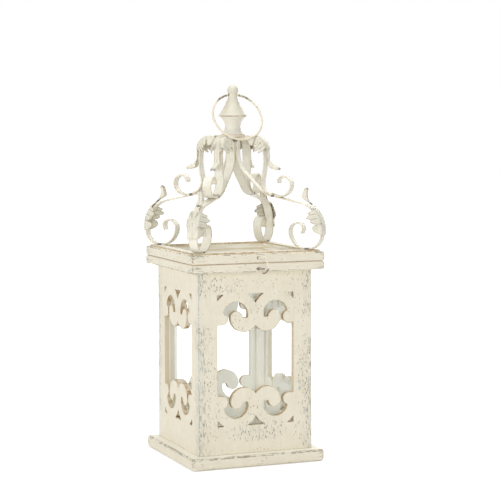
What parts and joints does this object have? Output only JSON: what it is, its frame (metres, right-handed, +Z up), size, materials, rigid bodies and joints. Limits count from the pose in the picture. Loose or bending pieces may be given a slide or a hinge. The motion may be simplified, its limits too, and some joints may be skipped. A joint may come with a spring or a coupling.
{
  "type": "candle lantern",
  "caption": "Square wooden candle lantern with scroll-cut panels and glass, a hinged lid frame, a scrolled metal crown with leaves, a turned finial and a carrying ring.",
  "frame": {"origin": "centre of the base board's underside, on the table", "axes": "+Z up, -Y towards the front with the hook latch, +X to the right of someone facing the front"},
  "size_m": [0.1974, 0.2069, 0.508],
  "materials": {
    "painted_wood": "distressed cream paint",
    "inner_wood": "thin cream paint",
    "glass": "clear",
    "painted_iron": "chipped cream paint",
    "hardware": "worn cream paint"
  },
  "bodies": {
    "case": {"base_board": "painted_wood", "collar_back": "painted_wood", "collar_front": "painted_wood", "collar_left": "painted_wood", "collar_right": "painted_wood", "corner_post_back": "inner_wood", "corner_post_front": "inner_wood", "corner_post_left": "inner_wood", "corner_post_right": "inner_wood", "glass_back": "glass", "glass_front": "glass", "glass_left": "glass", "glass_right": "glass", "hinge_lower_left": "hardware", "hinge_lower_right": "hardware", "hinge_pin_left": "hardware", "hinge_pin_right": "hardware", "latch_eye_lower": "hardware", "panel_back": "painted_wood", "panel_front": "painted_wood", "panel_left": "painted_wood", "panel_right": "painted_wood"},
    "lid": {"crown_hub": "painted_iron", "crown_nut": "painted_iron", "finial_cone": "painted_iron", "finial_vase": "painted_iron", "hinge_upper_left": "hardware", "hinge_upper_right": "hardware", "latch_eye_upper": "hardware", "lid_rail_back": "painted_wood", "lid_rail_front": "painted_wood", "lid_rail_left": "painted_wood", "lid_rail_right": "painted_wood", "lower_leaf_back": "painted_iron", "lower_leaf_front": "painted_iron", "lower_leaf_left": "painted_iron", "lower_leaf_right": "painted_iron", "rafter_back": "painted_iron", "rafter_front": "painted_iron", "rafter_left": "painted_iron", "rafter_right": "painted_iron", "rim_frame": "painted_iron", "tie_rod": "painted_iron", "upper_leaf_back": "painted_iron", "upper_leaf_front": "painted_iron", "upper_leaf_left": "painted_iron", "upper_leaf_right": "painted_iron", "upper_scroll_back": "painted_iron", "upper_scroll_front": "painted_iron", "upper_scroll_left": "painted_iron", "upper_scroll_right": "painted_iron"},
    "ring": {"carry_ring": "painted_iron"},
    "hook": {"latch_hook": "hardware"}
  },
  "joints": [
    {"name": "lid_hinge", "type": "hinge", "parent": "case", "child": "lid", "pos_m": [0, 0.0964, 0.2722], "axis": [-1, 0, 0], "range_deg": [0, 180]},
    {"name": "ring_swing", "type": "hinge", "parent": "lid", "child": "ring", "pos_m": [0, 0, 0.4944], "axis": [-1, 0, 0], "range_deg": [0, 299]},
    {"name": "hook_swing", "type": "hinge", "parent": "lid", "child": "hook", "pos_m": [0.0034, -0.1028, 0.2793], "axis": [-0.7071, -0.7071, 0], "range_deg": [0, 120]}
  ]
}
